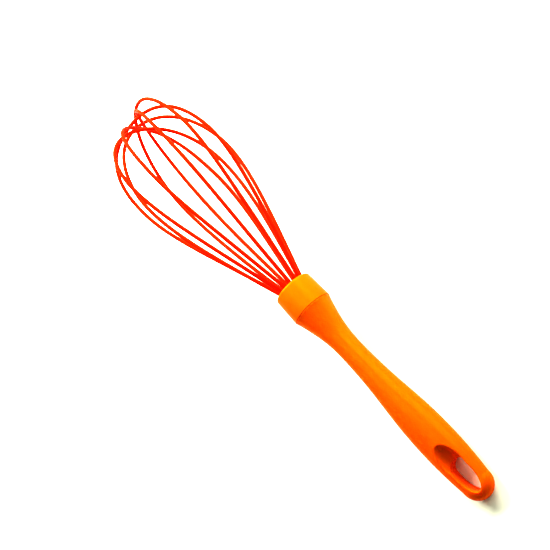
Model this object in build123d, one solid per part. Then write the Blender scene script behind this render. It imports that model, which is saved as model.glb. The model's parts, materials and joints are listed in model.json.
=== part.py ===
from build123d import *
import os
from collections import namedtuple
from math import asin, atan2, cos, degrees, hypot, radians, sin, sqrt

# Balloon whisk, lying on a table, in millimetres.
# It is drawn in its own frame first: +X runs along the whisk from the mouth of the collar to the tip
# of the balloon, +Z is square to the flat of the grip. The last step tips it by the small angle at
# which it lies, on the end of the grip and on the lowest wire, and puts the origin under its middle.

# ---- Driving dimensions -------------------------------------------------------------------------

# Wire: a spring steel core in a silicone sleeve
SLEEVE_DIAMETER = 2.2
CORE_DIAMETER = 1.2
CORE_CLEARANCE = 0.02

# Balloon
ROOT_RADIUS = 6.8               # ring of the twelve wires where they leave the mouth
ROOT_SLOPE = 17.8               # degrees that each wire leans outwards there
ROOT_PULL = 47.6                # how long a wire keeps that lean
WIDEST_AT = 93.4                # mouth to the widest place
WIDEST_PULL = (21.6, 20.2)      # fullness before and after the widest place
FIRST_WIRE_ANGLE = 26.5         # degrees about +X, from +Y
WIRE_STEP = 30.0
BEND_EXPONENT = 2.5             # a loop leans and shifts mostly near its tip

# No two loops spring alike. Each is given by the angle of its plane at the tip, its height, the
# shift of its tip within that plane and square to it, the bluntness of its tip, and for its two
# legs the radius at the widest place and the degrees by which the leg sways half way up.
Loop = namedtuple("Loop", "turn height shift lean bluntness radii sways")
LOOPS = (
    Loop(turn=43.0, height=137.1, shift=-6.1, lean=-9.2, bluntness=20.3, radii=(29.9, 31.0), sways=(-1.0, 6.5)),
    Loop(turn=63.5, height=128.4, shift=6.9, lean=0.8, bluntness=19.7, radii=(31.9, 30.4), sways=(0.0, 0.5)),
    Loop(turn=89.2, height=131.0, shift=-0.6, lean=-1.2, bluntness=30.4, radii=(33.1, 30.2), sways=(-1.3, -5.5)),
    Loop(turn=115.6, height=135.3, shift=-1.0, lean=3.1, bluntness=27.0, radii=(30.7, 31.2), sways=(3.0, 0.6)),
    Loop(turn=145.0, height=138.6, shift=6.8, lean=1.7, bluntness=17.5, radii=(30.1, 31.7), sways=(-1.3, -6.7)),
    Loop(turn=176.0, height=133.3, shift=-4.4, lean=-5.6, bluntness=25.9, radii=(33.3, 31.5), sways=(-4.8, 3.3)),
)
SPANS = 3                       # spans of the centre line from mouth to widest place, and on to the tip

# Wire ends inside the grip
SLEEVE_END = 6.5                # how far behind the mouth the silicone stops
CORE_BEND_AT = 7.4              # the bare steel then bends parallel to the axis
CORE_BEND_RADIUS = 12.0
CORE_END = 26.0

# Collar, a separate ring
COLLAR_LENGTH = 16.5
COLLAR_MOUTH_DIAMETER = 22.6
COLLAR_SHOULDER_DIAMETER = 23.5
COLLAR_RIM_ROUNDING = 1.3
COLLAR_EDGE_BREAK = 0.25
MOUTH_OPENING_DIAMETER = 17.4
MOUTH_LIP = 1.5
SPIGOT_DIAMETER = 20.2

# Wire guide and the socket behind it
GUIDE_DIAMETER = 16.8
GUIDE_THICKNESS = 4.0
GUIDE_HOLE_CLEARANCE = 0.05
SOCKET_STEP_AT = 7.2
SOCKET_DIAMETER = 11.2
SOCKET_DEPTH = 28.0

# Grip: distance behind the mouth, width (along Y) and thickness (along Z) of its oval sections
GRIP_SECTIONS = (
    (COLLAR_LENGTH, 23.4, 23.4),
    (20.0, 21.0, 21.0),
    (25.0, 18.4, 18.4),
    (32.0, 15.3, 15.3),
    (40.0, 13.3, 13.3),
    (49.0, 12.9, 12.8),
    (60.0, 13.6, 13.1),
    (74.0, 15.7, 14.0),
    (90.0, 18.9, 15.1),
    (106.0, 20.6, 15.5),
    (120.0, 20.3, 14.7),
    (131.0, 18.9, 13.0),
)
END_RADIUS = 8.8                # rounded end, seen from above
END_HALF_THICKNESS = 6.0
END_CENTRE = 138.5
END_FLANK_ANGLE = 5.0           # degrees at which the flanks still close in where the end begins

# Hanging slot, and the scoop that leads into it from above
SLOT_WIDTH = 9.7
SLOT_ROUND_AT = 127.5           # centre of its round end, nearer the collar
SLOT_TAPER_AT = 130.3           # from here on it narrows as half an ellipse
SLOT_TAPER_LENGTH = 12.0
SLOT_RIM_ROUNDING = 0.3
SCOOP_FLOOR_AT = (117.6, 4.0)   # distance behind the mouth, and height, of a point of its floor
SCOOP_SLOPE = 30.0              # degrees at which the floor falls away from the collar there
SCOOP_FLOOR_RADIUS = 40.0       # hollow of the floor, lengthwise
SCOOP_CROSS_RADIUS = 5.6        # and crosswise
SCOOP_REACH = (11.5, 9.0)       # of the cutter from that point, away from and toward the collar


# ---- Curves -------------------------------------------------------------------------------------

def bezier(a, b, c, d, t):
    """Value at t of a cubic curve with control values a, b, c and d."""
    s = 1 - t
    return a * s**3 + 3 * b * s * s * t + 3 * c * s * t * t + d * t**3


def leg_profile(loop, side, t):
    """Distance from the mouth and radius of a leg's centre line: t is 0 at the mouth, 1 at the
    widest place and 2 at the tip."""
    widest = loop.radii[side]
    lean = radians(ROOT_SLOPE)
    if t <= 1:
        along = bezier(0, ROOT_PULL * cos(lean), WIDEST_AT - WIDEST_PULL[0], WIDEST_AT, t)
        radius = bezier(ROOT_RADIUS, ROOT_RADIUS + ROOT_PULL * sin(lean), widest, widest, t)
    else:
        along = bezier(WIDEST_AT, WIDEST_AT + WIDEST_PULL[1], loop.height, loop.height, t - 1)
        radius = bezier(widest, widest, loop.bluntness, 0, t - 1)
    return along, radius


def loop_point(number, t):
    """Point of a loop's centre line: t runs from 0 at one mouth hole, over the tip at 2, to 4 at
    the opposite hole."""
    loop = LOOPS[number]
    side = 0 if t <= 2 else 1
    along, radius = leg_profile(loop, side, t if side == 0 else 4 - t)
    rise = along / loop.height
    hole_angle = FIRST_WIRE_ANGLE + WIRE_STEP * number
    twist = (hole_angle - loop.turn) * (1 - rise) + loop.sways[side] * 4 * rise * (1 - rise)
    angle = radians(loop.turn + twist)
    tip_angle = radians(loop.turn)
    bend = rise**BEND_EXPONENT
    reach = radius if side == 0 else -radius
    y = reach * cos(angle) + bend * (loop.shift * cos(tip_angle) - loop.lean * sin(tip_angle))
    z = reach * sin(angle) + bend * (loop.shift * sin(tip_angle) + loop.lean * cos(tip_angle))
    return Vector(along, y, z)


def loop_direction(number, t):
    """Unit direction of a loop's centre line at t."""
    step = 0.001
    before = loop_point(number, max(t - step, 0))
    after = loop_point(number, min(t + step, 4))
    return (after - before).normalized()


def two_arcs(start, start_direction, end, end_direction):
    """Two arcs that run smoothly from one point and direction to another."""
    chord = end - start
    both = start_direction + end_direction
    spread = 2 * (1 - start_direction.dot(end_direction))
    reach = (-chord.dot(both) + (chord.dot(both) ** 2 + spread * chord.dot(chord)) ** 0.5) / spread
    first_corner = start + start_direction * reach
    second_corner = end - end_direction * reach
    middle = (first_corner + second_corner) * 0.5
    middle_direction = (second_corner - first_corner).normalized()
    return [
        Edge.make_tangent_arc(start, start_direction, middle),
        Edge.make_tangent_arc(middle, middle_direction, end),
    ]


def bow_edges(number):
    """The part of a loop outside the collar, as a chain of arcs."""
    stations = [i / SPANS for i in range(4 * SPANS + 1)]
    edges = []
    for t, next_t in zip(stations, stations[1:]):
        edges += two_arcs(
            loop_point(number, t), loop_direction(number, t),
            loop_point(number, next_t), loop_direction(number, next_t),
        )
    return edges


def leg_line(number, side):
    """Point where a leg passes the mouth, and its unit direction into the collar."""
    if side == 0:
        return loop_point(number, 0), -loop_direction(number, 0)
    return loop_point(number, 4), loop_direction(number, 4)


def point_behind_mouth(number, side, depth):
    """Point of a straight leg at a depth behind the mouth."""
    mouth, inwards = leg_line(number, side)
    return mouth + inwards * (depth / -inwards.X)


def buried_edges(number, side):
    """Bare steel end of a leg, from where it bends to its end: an arc, then a straight run."""
    start = point_behind_mouth(number, side, CORE_BEND_AT)
    inwards = leg_line(number, side)[1]
    lean = asin(hypot(inwards.Y, inwards.Z))
    sideways = Vector(0, inwards.Y, inwards.Z).normalized()
    bend_end = (
        start
        - Vector(CORE_BEND_RADIUS * sin(lean), 0, 0)
        + sideways * (CORE_BEND_RADIUS * (1 - cos(lean)))
    )
    end = Vector(-CORE_END, bend_end.Y, bend_end.Z)
    return [Edge.make_tangent_arc(start, inwards, bend_end), Edge.make_line(bend_end, end)]


# ---- Wires --------------------------------------------------------------------------------------

def rod(edges, start, direction, profile):
    """Sweep a flat profile along a chain of edges."""
    return sweep(Plane(start, z_dir=direction) * profile, path=Wire(edges))


def loop_path(number, depth):
    """Edges of a loop with its straight legs down to a depth behind the mouth."""
    first, last = (point_behind_mouth(number, side, depth) for side in (0, 1))
    bow = bow_edges(number)
    return [
        Edge.make_line(first, bow[0] @ 0),
        *bow,
        Edge.make_line(bow[-1] @ 1, last),
    ]


def sleeve(number):
    """Silicone tube over a whole loop."""
    ring = Circle(SLEEVE_DIAMETER / 2) - Circle(CORE_DIAMETER / 2 + CORE_CLEARANCE)
    start = point_behind_mouth(number, 0, SLEEVE_END)
    return rod(loop_path(number, SLEEVE_END), start, -leg_line(number, 0)[1], ring)


def core(number):
    """Spring steel wire inside a sleeve, with its two ends in the potting."""
    buried = [buried_edges(number, side) for side in (0, 1)]
    middle = loop_path(number, CORE_BEND_AT)
    start = buried[0][-1] @ 1
    return rod([*buried[0], *middle, *buried[1]], start, Vector(1, 0, 0), Circle(CORE_DIAMETER / 2))


# ---- Collar, guide and potting ------------------------------------------------------------------

def along_axis(*outline):
    """Solid of revolution about X from (distance behind the mouth, radius) corners."""
    corners = [(-behind, radius) for behind, radius in outline]
    return revolve(make_face(Polyline(*corners, close=True)), axis=Axis.X)


def collar():
    """Tapered ring with a rounded front rim and a lip over the end of the spigot."""
    ring = along_axis(
        (0, MOUTH_OPENING_DIAMETER / 2),
        (0, COLLAR_MOUTH_DIAMETER / 2),
        (COLLAR_LENGTH, COLLAR_SHOULDER_DIAMETER / 2),
        (COLLAR_LENGTH, SPIGOT_DIAMETER / 2),
        (MOUTH_LIP, SPIGOT_DIAMETER / 2),
        (MOUTH_LIP, MOUTH_OPENING_DIAMETER / 2),
    )
    front_rim = ring.edges().filter_by(GeomType.CIRCLE).group_by(Axis.X)[-1].sort_by(SortBy.RADIUS)[-1]
    ring = fillet(front_rim, COLLAR_RIM_ROUNDING)
    back_rim = ring.edges().filter_by(GeomType.CIRCLE).group_by(Axis.X)[0].sort_by(SortBy.RADIUS)[-1]
    return chamfer(back_rim, COLLAR_EDGE_BREAK)


def wire_guide():
    """Disc behind the lip, with a slanting hole for each of the twelve legs."""
    front, back = MOUTH_LIP, MOUTH_LIP + GUIDE_THICKNESS
    radius = GUIDE_DIAMETER / 2
    disc = along_axis((front, 0), (front, radius), (back, radius), (back, 0))
    hole_radius = SLEEVE_DIAMETER / 2 + GUIDE_HOLE_CLEARANCE
    for number in range(len(LOOPS)):
        for side in (0, 1):
            start = point_behind_mouth(number, side, 0)
            inwards = leg_line(number, side)[1]
            disc -= extrude(Plane(start, z_dir=inwards) * Circle(hole_radius), SLEEVE_END + 2)
    return disc


def potting():
    """Resin that fills the narrow part of the socket around the bare wire ends."""
    radius = SOCKET_DIAMETER / 2
    plug = along_axis(
        (SOCKET_STEP_AT, 0), (SOCKET_STEP_AT, radius), (SOCKET_DEPTH, radius), (SOCKET_DEPTH, 0)
    )
    profile = Circle(CORE_DIAMETER / 2 + CORE_CLEARANCE)
    for number in range(len(LOOPS)):
        for side in (0, 1):
            bent = buried_edges(number, side)
            start = point_behind_mouth(number, side, SOCKET_STEP_AT - 1)
            inwards = leg_line(number, side)[1]
            slanted = Edge.make_line(start, bent[0] @ 0)
            last = bent[-1] @ 1
            longer = Edge.make_line(bent[0] @ 1, last - Vector(CORE_CLEARANCE, 0, 0))
            plug -= rod([slanted, bent[0], longer], start, inwards, profile)
    return plug


# ---- Handle -------------------------------------------------------------------------------------

def grip_body():
    """Outer shape of the grip: lofted ovals, then the rounded end."""
    flank = radians(END_FLANK_ANGLE)
    last = (
        END_CENTRE - END_RADIUS * sin(flank),
        2 * END_RADIUS * cos(flank),
        2 * END_HALF_THICKNESS * cos(flank),
    )
    ovals = [
        Plane.YZ.offset(-behind) * Ellipse(width / 2, thickness / 2)
        for behind, width, thickness in (*GRIP_SECTIONS, last)
    ]
    half_oval = Plane.XZ * (
        Ellipse(END_RADIUS, END_HALF_THICKNESS)
        & Rectangle(END_RADIUS, 2 * END_HALF_THICKNESS, align=(Align.MIN, Align.CENTER))
    )
    end = Pos(-END_CENTRE, 0, 0) * revolve(half_oval, axis=Axis.Z)
    return loft(ovals) + end


def slot():
    """Cutter for the hanging slot: round toward the collar, narrowing toward the end."""
    length = SLOT_TAPER_AT - SLOT_ROUND_AT
    outline = Pos(-SLOT_ROUND_AT, 0) * Circle(SLOT_WIDTH / 2)
    outline += Pos(-SLOT_ROUND_AT, 0) * Rectangle(length, SLOT_WIDTH, align=(Align.MAX, Align.CENTER))
    outline += Pos(-SLOT_TAPER_AT, 0) * (
        Ellipse(SLOT_TAPER_LENGTH, SLOT_WIDTH / 2)
        & Rectangle(SLOT_TAPER_LENGTH, SLOT_WIDTH, align=(Align.MAX, Align.CENTER))
    )
    return extrude(outline, 4 * END_HALF_THICKNESS, both=True)


def scoop():
    """Barrel-shaped cutter for the scoop: its lowest line is the floor, which falls away from the
    collar and runs out over the slot."""
    slope = radians(SCOOP_SLOPE)
    floor = Plane(
        (-SCOOP_FLOOR_AT[0], 0, SCOOP_FLOOR_AT[1]), x_dir=(cos(slope), 0, sin(slope)), z_dir=(0, -1, 0)
    )
    rises = [SCOOP_FLOOR_RADIUS - sqrt(SCOOP_FLOOR_RADIUS**2 - reach**2) for reach in SCOOP_REACH]
    far, near = (-SCOOP_REACH[0], rises[0]), (SCOOP_REACH[1], rises[1])
    half = ThreePointArc(far, (0, 0), near) + Polyline(
        near, (near[0], SCOOP_CROSS_RADIUS), (far[0], SCOOP_CROSS_RADIUS), far
    )
    middle = floor.from_local_coords((0, SCOOP_CROSS_RADIUS, 0))
    return revolve(make_face(floor * half), axis=Axis(middle, floor.x_dir))


def slot_rims(body):
    """Edges where the wall of the slot meets the outside, above and below."""
    return [
        edge for edge in body.edges().filter_by(GeomType.BSPLINE)
        if SLOT_ROUND_AT - SLOT_WIDTH < -edge.center().X < END_CENTRE
        and abs(edge.center().Y) < SLOT_WIDTH / 2 + 0.1
        and abs(edge.center().Z) > END_HALF_THICKNESS / 2
    ]


def handle():
    """Grip with the spigot for the collar, the socket for the wires, the slot and the scoop."""
    body = grip_body() + along_axis(
        (MOUTH_LIP, 0), (MOUTH_LIP, SPIGOT_DIAMETER / 2),
        (COLLAR_LENGTH + 1, SPIGOT_DIAMETER / 2), (COLLAR_LENGTH + 1, 0),
    )
    body -= along_axis(
        (0, 0), (0, GUIDE_DIAMETER / 2), (SOCKET_STEP_AT, GUIDE_DIAMETER / 2),
        (SOCKET_STEP_AT, SOCKET_DIAMETER / 2), (SOCKET_DEPTH, SOCKET_DIAMETER / 2), (SOCKET_DEPTH, 0),
    )
    body = body - scoop() - slot()
    return fillet(slot_rims(body), SLOT_RIM_ROUNDING)


# ---- Assembly -----------------------------------------------------------------------------------

def resting_angle():
    """Angle at which the axis rises from the rounded end of the grip to the balloon when both touch
    the table."""
    angles = []
    for number in range(len(LOOPS)):
        for i in range(81):
            point = loop_point(number, i / 20)
            drop = -point.Z + SLEEVE_DIAMETER / 2 - END_HALF_THICKNESS
            angles.append(atan2(drop, point.X + END_CENTRE))
    return degrees(max(angles))


def build_pieces():
    pieces = {
        "handle": handle(),
        "collar": collar(),
        "wire_guide": wire_guide(),
        "potting": potting(),
    }
    for number in range(len(LOOPS)):
        pieces[f"core_{number + 1}"] = core(number)
        pieces[f"sleeve_{number + 1}"] = sleeve(number)
    return pieces


def lay_down(pieces):
    """Tip every piece to the resting angle and centre the whole over the origin."""
    tipped = {name: Rotation(0, -resting_angle(), 0) * piece for name, piece in pieces.items()}
    box = Compound(list(tipped.values())).bounding_box()
    middle = box.center()
    place = Pos(-middle.X, -middle.Y, -box.min.Z)
    return {name: place * piece for name, piece in tipped.items()}


os.makedirs("parts", exist_ok=True)
for node, piece in lay_down(build_pieces()).items():
    export_step(piece, f"parts/{node}.step")
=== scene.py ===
import json
from collections import namedtuple
from math import cos, pi, radians, sin

import bmesh
import bpy
from mathutils import Euler, Matrix, Vector


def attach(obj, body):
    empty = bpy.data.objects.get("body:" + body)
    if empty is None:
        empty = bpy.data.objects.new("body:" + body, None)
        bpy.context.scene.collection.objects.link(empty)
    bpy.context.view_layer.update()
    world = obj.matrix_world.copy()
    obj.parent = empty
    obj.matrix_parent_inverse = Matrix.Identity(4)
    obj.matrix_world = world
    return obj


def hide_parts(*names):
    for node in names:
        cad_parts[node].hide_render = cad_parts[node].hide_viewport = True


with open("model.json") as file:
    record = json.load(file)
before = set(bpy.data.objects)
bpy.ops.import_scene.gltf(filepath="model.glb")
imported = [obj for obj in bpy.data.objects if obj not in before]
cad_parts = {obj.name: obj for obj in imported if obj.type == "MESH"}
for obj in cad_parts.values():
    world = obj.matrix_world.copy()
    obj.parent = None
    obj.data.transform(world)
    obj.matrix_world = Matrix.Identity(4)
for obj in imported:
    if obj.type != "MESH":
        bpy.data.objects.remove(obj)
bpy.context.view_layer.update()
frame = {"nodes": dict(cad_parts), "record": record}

MM = 0.001


# ---- Where the whisk lies -----------------------------------------------------------------------

# The hanging slot's mount gives the way that the flat of the grip faces, and a point on the axis
# a known distance behind the mouth of the collar.
SLOT_CENTRE = 132.5
slot_mount = next(m for m in frame["record"]["mounts"] if m["name"] == "hang_slot")
UP = Vector(slot_mount["axis"]).normalized()
SIDE = Vector((0, 1, 0))
ALONG = SIDE.cross(UP).normalized()
MOUTH = Vector(slot_mount["pos_m"]) + ALONG * SLOT_CENTRE * MM
WHISK = Matrix.Translation(MOUTH) @ Matrix((ALONG, SIDE, UP)).transposed().to_4x4() @ Matrix.Scale(MM, 4)


# ---- Wires --------------------------------------------------------------------------------------

SLEEVE_RADIUS = 1.085           # a hair thinner than the CAD sleeves, to stay inside their box
ROOT_RADIUS = 6.8               # of the circle of holes that the wires leave by
ROOT_SLOPE = radians(17.8)      # at which they spread there
ROOT_PULL = 47.6                # how far that slope draws a leg's curve
WIDEST_AT = 93.4
WIDEST_PULL = (21.6, 20.2)      # how far the widest stretch draws it, toward the mouth and the tip
FIRST_WIRE_ANGLE = 26.5
WIRE_STEP = 30.0
BEND_EXPONENT = 2.5             # how late along the loop its tip's shift and lean set in
SLEEVE_END = 6.5                # depth of the sleeves' ends behind the mouth

# A loop's tip is turned to an angle round the axis and stands a height above the mouth, shifted off the
# axis in the loop's plane and leaning across it. Its bluntness is how wide the tip starts to close. Its two
# legs each have their greatest radius, and sway sideways by some degrees halfway up.
Loop = namedtuple("Loop", "turn height shift lean bluntness radii sways")
LOOPS = (
    Loop(turn=43.0, height=137.1, shift=-6.1, lean=-9.2, bluntness=20.3,
         radii=(29.9, 31.0), sways=(-1.0, 6.5)),
    Loop(turn=63.5, height=128.4, shift=6.9, lean=0.8, bluntness=19.7,
         radii=(31.9, 30.4), sways=(0.0, 0.5)),
    Loop(turn=89.2, height=131.0, shift=-0.6, lean=-1.2, bluntness=30.4,
         radii=(33.1, 30.2), sways=(-1.3, -5.5)),
    Loop(turn=115.6, height=135.3, shift=-1.0, lean=3.1, bluntness=27.0,
         radii=(30.7, 31.2), sways=(3.0, 0.6)),
    Loop(turn=145.0, height=138.6, shift=6.8, lean=1.7, bluntness=17.5,
         radii=(30.1, 31.7), sways=(-1.3, -6.7)),
    Loop(turn=176.0, height=133.3, shift=-4.4, lean=-5.6, bluntness=25.9,
         radii=(33.3, 31.5), sways=(-4.8, 3.3)),
)
STATIONS = 90                   # along each quarter of a loop
SIDES = 28


# ---- Collar and grip ----------------------------------------------------------------------------

COLLAR_LENGTH = 16.5
COLLAR_MOUTH_RADIUS = 11.3
COLLAR_SHOULDER_RADIUS = 11.75
COLLAR_RIM_ROUNDING = 1.3       # of the outer edge at the mouth
COLLAR_HEEL_ROUNDING = 0.3      # of the outer edge at the shoulder
MOUTH_OPENING_RADIUS = 8.7
MOUTH_EDGE_ROUNDING = 0.5
MOUTH_LIP = 1.5
SPIGOT_RADIUS = 10.1
COLLAR_SIDES = 128
RIM_STEPS, HEEL_STEPS, MOUTH_STEPS = 10, 6, 5

GRIP_VOXEL = 0.35               # of the even mesh that the grip is rebuilt on
GRIP_SMOOTHING_FACTOR = 0.5
GRIP_SMOOTHING_ROUNDS = 6


# ---- Curves and meshes --------------------------------------------------------------------------

def bezier(a, b, c, d, t):
    """Value at t, from 0 to 1, of the cubic curve with these four control values."""
    s = 1 - t
    return a * s**3 + 3 * b * s * s * t + 3 * c * s * t * t + d * t**3


def leg_profile(loop, side, t):
    """Distance from the mouth and radius of a leg: t is 0 at the mouth, 1 at the widest, 2 at the tip."""
    widest = loop.radii[side]
    if t <= 1:
        along = bezier(0, ROOT_PULL * cos(ROOT_SLOPE), WIDEST_AT - WIDEST_PULL[0], WIDEST_AT, t)
        radius = bezier(ROOT_RADIUS, ROOT_RADIUS + ROOT_PULL * sin(ROOT_SLOPE), widest, widest, t)
    else:
        along = bezier(WIDEST_AT, WIDEST_AT + WIDEST_PULL[1], loop.height, loop.height, t - 1)
        radius = bezier(widest, widest, loop.bluntness, 0, t - 1)
    return along, radius


def loop_point(number, t):
    """Centre line of a loop, in mm in the whisk's own axes: t runs from 0 at one hole to 4 at the other."""
    loop = LOOPS[number]
    side = 0 if t <= 2 else 1
    along, radius = leg_profile(loop, side, t if side == 0 else 4 - t)
    rise = along / loop.height
    hole_angle = FIRST_WIRE_ANGLE + WIRE_STEP * number
    twist = (hole_angle - loop.turn) * (1 - rise) + loop.sways[side] * 4 * rise * (1 - rise)
    angle = radians(loop.turn + twist)
    tip_angle = radians(loop.turn)
    bend = rise**BEND_EXPONENT
    reach = radius if side == 0 else -radius
    y = reach * cos(angle) + bend * (loop.shift * cos(tip_angle) - loop.lean * sin(tip_angle))
    z = reach * sin(angle) + bend * (loop.shift * sin(tip_angle) + loop.lean * cos(tip_angle))
    return Vector((along, y, z))


def centre_line(number):
    """Points of a loop, with its straight legs into the guide, spaced closely."""
    points = [loop_point(number, i / STATIONS) for i in range(4 * STATIONS + 1)]
    first = (points[0] - points[1]).normalized()
    last = (points[-1] - points[-2]).normalized()
    points.insert(0, points[0] + first * (SLEEVE_END / -first.x))
    points.append(points[-1] + last * (SLEEVE_END / -last.x))
    return points


def tube(points, radius, sides):
    """Closed tube round a line of points, with a frame carried along it that doesn't twist."""
    mesh = bmesh.new()
    tangents = []
    for i in range(len(points)):
        before = points[max(i - 1, 0)]
        after = points[min(i + 1, len(points) - 1)]
        tangents.append((after - before).normalized())
    across = tangents[0].orthogonal().normalized()
    rings = []
    for point, tangent in zip(points, tangents):
        across = (across - tangent * across.dot(tangent)).normalized()
        beside = tangent.cross(across)
        rings.append([
            mesh.verts.new(point + (across * cos(a) + beside * sin(a)) * radius)
            for a in (2 * pi * k / sides for k in range(sides))
        ])
    for ring, next_ring in zip(rings, rings[1:]):
        for k in range(sides):
            mesh.faces.new((ring[k], ring[(k + 1) % sides], next_ring[(k + 1) % sides], next_ring[k]))
    mesh.faces.new(reversed(rings[0]))
    mesh.faces.new(rings[-1])
    return mesh


def arc(centre, radius, start, end, steps):
    """Points of a rounded edge in a lathe profile: angles in degrees, 0 along the axis and 90 outward."""
    return [
        (centre[0] + radius * cos(radians(a)), centre[1] + radius * sin(radians(a)))
        for a in (start + (end - start) * k / steps for k in range(steps + 1))
    ]


def lathe(profile, sides):
    """Closed ring turned round the axis from a closed profile of (along, radius) points."""
    mesh = bmesh.new()
    rings = []
    for k in range(sides):
        a = 2 * pi * k / sides
        rings.append([mesh.verts.new((x, r * cos(a), r * sin(a))) for x, r in profile])
    for k in range(sides):
        ring, next_ring = rings[k], rings[(k + 1) % sides]
        for i in range(len(profile)):
            j = (i + 1) % len(profile)
            mesh.faces.new((ring[i], ring[j], next_ring[j], next_ring[i]))
    return mesh


def piece(name, mesh, material, replaced):
    """Object from a bmesh in the whisk's own axes, riding on the whisk."""
    mesh.transform(WHISK)
    bmesh.ops.recalc_face_normals(mesh, faces=mesh.faces)
    data = bpy.data.meshes.new(name)
    mesh.to_mesh(data)
    mesh.free()
    for polygon in data.polygons:
        polygon.use_smooth = True
    made = bpy.data.objects.new(name, data)
    bpy.context.scene.collection.objects.link(made)
    data.materials.append(material)
    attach(made, "root")
    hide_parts(*replaced)
    return made


# ---- Materials ----------------------------------------------------------------------------------

LOW, MIDDLE, HIGH = 0.3, 0.5, 0.7     # places on a noise's colour ramp
CLOUD_SCALE, CLOUD_DETAIL = 90, 5
RUB_SCALE, RUB_DETAIL = 260, 6
PIT_DETAIL = 3
PIT_DEPTH = 0.1                       # mm
SPECULAR_LEVEL = 0.02
SPECULAR_TINT = (1.0, 0.4, 0.02, 1)
GLOW_COLOUR = (1.0, 0.12, 0.02)       # how far each of red, green and blue travels inside
GLOW_DEPTH = 2.5                      # mm


def new_material(name):
    """New node material, with its nodes and links."""
    material = bpy.data.materials.new(name)
    material.use_nodes = True
    return material, material.node_tree.nodes, material.node_tree.links


def noise(nodes, links, place, scale, detail, stretch=(1, 1, 1)):
    """Noise in the object's own space, drawn out along the axes by stretch."""
    mapping = nodes.new("ShaderNodeMapping")
    mapping.inputs["Scale"].default_value = stretch
    links.new(place.outputs["Object"], mapping.inputs["Vector"])
    texture = nodes.new("ShaderNodeTexNoise")
    texture.inputs["Scale"].default_value = scale
    texture.inputs["Detail"].default_value = detail
    links.new(mapping.outputs["Vector"], texture.inputs["Vector"])
    return texture


def ramp(nodes, links, texture, stops):
    """Colour ramp over a texture: stops are (position, colour)."""
    made = nodes.new("ShaderNodeValToRGB")
    made.color_ramp.elements[0].position, made.color_ramp.elements[0].color = stops[0]
    made.color_ramp.elements[1].position, made.color_ramp.elements[1].color = stops[-1]
    for position, colour in stops[1:-1]:
        made.color_ramp.elements.new(position).color = colour
    links.new(texture.outputs["Fac"], made.inputs["Fac"])
    return made


def grey(value):
    """Grey colour of this value."""
    return (value, value, value, 1)


def moulded(name, colours, gloss, roughness, glow, grain, streak=(1, 1, 1)):
    """Opaque coloured plastic or rubber: cloudy colour, uneven gloss and a fine moulded grain.

    gloss is the tinted sheen, glow the light that the surface lets in, grain its scale and strength.
    """
    material, nodes, links = new_material(name)
    shader = nodes["Principled BSDF"]
    place = nodes.new("ShaderNodeTexCoord")
    cloud = noise(nodes, links, place, CLOUD_SCALE, CLOUD_DETAIL, streak)
    shade = ramp(nodes, links, cloud, [(LOW, colours[0]), (MIDDLE, colours[1]), (HIGH, colours[2])])
    links.new(shade.outputs["Color"], shader.inputs["Base Color"])
    rub = noise(nodes, links, place, RUB_SCALE, RUB_DETAIL, streak)
    polish = ramp(nodes, links, rub, [(LOW, grey(roughness[0])), (HIGH, grey(roughness[1]))])
    links.new(polish.outputs["Color"], shader.inputs["Roughness"])
    shader.inputs["Metallic"].default_value = gloss
    shader.inputs["Specular IOR Level"].default_value = SPECULAR_LEVEL
    shader.inputs["Specular Tint"].default_value = SPECULAR_TINT
    shader.inputs["Subsurface Weight"].default_value = glow
    shader.inputs["Subsurface Radius"].default_value = GLOW_COLOUR
    shader.inputs["Subsurface Scale"].default_value = GLOW_DEPTH * MM
    pits = noise(nodes, links, place, grain[0], PIT_DETAIL)
    bump = nodes.new("ShaderNodeBump")
    bump.inputs["Strength"].default_value = grain[1]
    bump.inputs["Distance"].default_value = PIT_DEPTH * MM
    links.new(pits.outputs["Fac"], bump.inputs["Height"])
    links.new(bump.outputs["Normal"], shader.inputs["Normal"])
    return material


grip_plastic = moulded(
    "grip_plastic", [(0.80, 0.098, 0.0, 1), (0.82, 0.105, 0.0, 1), (0.84, 0.112, 0.0, 1)],
    gloss=0.16, roughness=(0.22, 0.30), glow=0.35, grain=(1400, 0.10), streak=(0.25, 1, 1),
)
collar_plastic = moulded(
    "collar_plastic", [(0.86, 0.100, 0.0, 1), (0.88, 0.106, 0.0, 1), (0.9, 0.112, 0.0, 1)],
    gloss=0.1, roughness=(0.26, 0.34), glow=0.08, grain=(1400, 0.12),
)
silicone = moulded(
    "silicone", [(0.46, 0.009, 0.0, 1), (0.5, 0.011, 0.0, 1), (0.54, 0.013, 0.0, 1)],
    gloss=0.04, roughness=(0.5, 0.62), glow=0.05, grain=(2600, 0.14),
)

STEEL_DARK = (0.46, 0.45, 0.43, 1)
STEEL_BRIGHT = (0.66, 0.66, 0.65, 1)
STEEL_ROUGHNESS = (0.24, 0.42)
TARNISH_SCALE, TARNISH_DETAIL = 120, 5
SCRATCH_SCALE, SCRATCH_DETAIL = 1800, 4
SCRATCH_STRETCH = (0.05, 1, 1)
SCRATCH_STRENGTH = 0.15
SCRATCH_DEPTH = 0.05                  # mm


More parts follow.
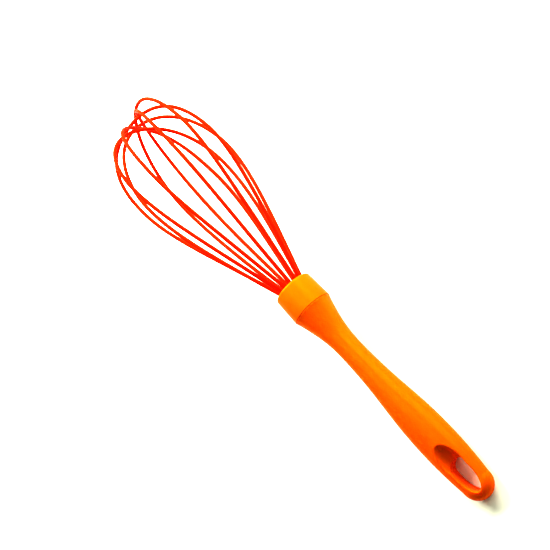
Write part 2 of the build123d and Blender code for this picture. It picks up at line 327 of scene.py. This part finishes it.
def drawn_steel(name):
    """Bright drawn spring steel: fine scratches along the wire and a slightly uneven gloss."""
    material, nodes, links = new_material(name)
    shader = nodes["Principled BSDF"]
    place = nodes.new("ShaderNodeTexCoord")
    tarnish = noise(nodes, links, place, TARNISH_SCALE, TARNISH_DETAIL)
    shade = ramp(nodes, links, tarnish, [(LOW, STEEL_DARK), (HIGH, STEEL_BRIGHT)])
    links.new(shade.outputs["Color"], shader.inputs["Base Color"])
    shader.inputs["Metallic"].default_value = 1.0
    scratches = noise(nodes, links, place, SCRATCH_SCALE, SCRATCH_DETAIL, SCRATCH_STRETCH)
    smooth, rough = STEEL_ROUGHNESS
    polish = ramp(nodes, links, scratches, [(LOW, grey(smooth)), (HIGH, grey(rough))])
    links.new(polish.outputs["Color"], shader.inputs["Roughness"])
    bump = nodes.new("ShaderNodeBump")
    bump.inputs["Strength"].default_value = SCRATCH_STRENGTH
    bump.inputs["Distance"].default_value = SCRATCH_DEPTH * MM
    links.new(scratches.outputs["Fac"], bump.inputs["Height"])
    links.new(bump.outputs["Normal"], shader.inputs["Normal"])
    return material


guide_plastic = moulded(
    "guide_plastic", [(0.74, 0.078, 0.0, 1), (0.77, 0.086, 0.0, 1), (0.8, 0.094, 0.0, 1)],
    gloss=0.05, roughness=(0.38, 0.5), glow=0.08, grain=(1600, 0.14),
)
resin = moulded(
    "resin", [(0.50, 0.34, 0.13, 1), (0.56, 0.39, 0.16, 1), (0.62, 0.44, 0.2, 1)],
    gloss=0.02, roughness=(0.3, 0.5), glow=0.2, grain=(700, 0.2),
)
steel = drawn_steel("steel")


# ---- Pieces -------------------------------------------------------------------------------------

for number in range(len(LOOPS)):
    sleeve_mesh = tube(centre_line(number), SLEEVE_RADIUS, SIDES)
    piece(f"silicone_sleeve_{number + 1}", sleeve_mesh, silicone, [f"sleeve_{number + 1}"])


def softened_copy(node, name, voxel, factor, rounds):
    """Copy of a CAD node's mesh, rebuilt evenly and smoothed a little so that its edges are rounded."""
    source = frame["nodes"][node]
    data = source.data.copy()
    made = bpy.data.objects.new(name, data)
    bpy.context.scene.collection.objects.link(made)
    made.matrix_world = source.matrix_world
    remesh = made.modifiers.new("even", "REMESH")
    remesh.mode = "VOXEL"
    remesh.voxel_size = voxel
    remesh.use_smooth_shade = True
    smooth = made.modifiers.new("soften", "SMOOTH")
    smooth.factor = factor
    smooth.iterations = rounds
    graph = bpy.context.evaluated_depsgraph_get()
    final = bpy.data.meshes.new_from_object(made.evaluated_get(graph))
    made.modifiers.clear()
    made.data = final
    final.name = name
    for polygon in final.polygons:
        polygon.use_smooth = True
    return made


grip = softened_copy("handle", "grip", GRIP_VOXEL * MM, GRIP_SMOOTHING_FACTOR, GRIP_SMOOTHING_ROUNDS)
grip.data.materials.clear()
grip.data.materials.append(grip_plastic)
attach(grip, "root")
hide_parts("handle")


def collar_profile():
    """Closed outline of the collar's wall, from the mouth along the outside and back along the bore."""
    rim, heel, edge = COLLAR_RIM_ROUNDING, COLLAR_HEEL_ROUNDING, MOUTH_EDGE_ROUNDING
    return (
        arc((-rim, COLLAR_MOUTH_RADIUS - rim), rim, 0, 90, RIM_STEPS)
        + arc((-COLLAR_LENGTH + heel, COLLAR_SHOULDER_RADIUS - heel), heel, 90, 180, HEEL_STEPS)
        + [(-COLLAR_LENGTH, SPIGOT_RADIUS), (-MOUTH_LIP, SPIGOT_RADIUS), (-MOUTH_LIP, MOUTH_OPENING_RADIUS)]
        + arc((-edge, MOUTH_OPENING_RADIUS + edge), edge, 270, 360, MOUTH_STEPS)
    )


piece("collar_ring", lathe(collar_profile(), COLLAR_SIDES), collar_plastic, ["collar"])

carried_over = {"wire_guide": guide_plastic, "potting": resin}
carried_over.update({f"core_{number + 1}": steel for number in range(len(LOOPS))})
for node, material in carried_over.items():
    frame["nodes"][node].data.materials.clear()
    frame["nodes"][node].data.materials.append(material)


# ---- Floor, light and camera --------------------------------------------------------------------

FLOOR_HALF_SIZE = 3.0
FLOOR_COLOUR = (0.88, 0.92, 0.7, 1)
FLOOR_ROUGHNESS = 0.9
FLOOR_SPECULAR_LEVEL = 0.1
WORLD_COLOUR = (1, 0.98, 0.95, 1)
WORLD_STRENGTH = 0.1
CAMERA_PLACE = (-0.21901, -0.18863, 0.5285)
CAMERA_TURN = (3.432, 30.647, -134.366)     # degrees about x, y and z
CAMERA_LENS = 72                            # mm
CAMERA_SENSOR = 36                          # mm


def floor():
    """Plain pale floor under the whisk."""
    data = bpy.data.meshes.new("floor")
    mesh = bmesh.new()
    bmesh.ops.create_grid(mesh, x_segments=1, y_segments=1, size=FLOOR_HALF_SIZE)
    mesh.to_mesh(data)
    mesh.free()
    made = bpy.data.objects.new("floor", data)
    bpy.context.scene.collection.objects.link(made)
    material, nodes, links = new_material("floor_white")
    nodes["Principled BSDF"].inputs["Base Color"].default_value = FLOOR_COLOUR
    nodes["Principled BSDF"].inputs["Roughness"].default_value = FLOOR_ROUGHNESS
    nodes["Principled BSDF"].inputs["Specular IOR Level"].default_value = FLOOR_SPECULAR_LEVEL
    data.materials.append(material)


def softbox(name, direction, distance, size, power):
    """Rectangular area light a distance away from the whisk in the direction given, facing it."""
    data = bpy.data.lights.new(name, "AREA")
    data.shape = "RECTANGLE"
    data.size, data.size_y = size
    data.energy = power
    made = bpy.data.objects.new(name, data)
    bpy.context.scene.collection.objects.link(made)
    made.location = Vector(direction).normalized() * distance
    made.rotation_euler = (-made.location).to_track_quat("-Z", "Y").to_euler()


floor()
world = bpy.data.worlds.new("studio")
bpy.context.scene.world = world
world.use_nodes = True
world.node_tree.nodes["Background"].inputs["Color"].default_value = WORLD_COLOUR
world.node_tree.nodes["Background"].inputs["Strength"].default_value = WORLD_STRENGTH
softbox("key", direction=(0.6, -0.7, 0.4), distance=0.6, size=(0.32, 0.32), power=7.4)
softbox("fill", direction=(0.75, 0.1, 0.6), distance=0.36, size=(0.24, 0.24), power=4.4)
softbox("window", direction=(0.1, -0.85, 0.5), distance=1.5, size=(0.6, 1.2), power=9)
softbox("overhead", direction=(0.1, 0.0, 1.0), distance=1.5, size=(0.9, 0.9), power=3)

camera_data = bpy.data.cameras.new("camera")
camera_data.lens = CAMERA_LENS
camera_data.sensor_width = CAMERA_SENSOR
camera = bpy.data.objects.new("camera", camera_data)
bpy.context.scene.collection.objects.link(camera)
camera.location = CAMERA_PLACE
camera.rotation_euler = Euler([radians(turn) for turn in CAMERA_TURN])
bpy.context.scene.camera = camera
bpy.context.scene.view_settings.view_transform = "Standard"
bpy.context.scene.view_settings.look = "High Contrast"
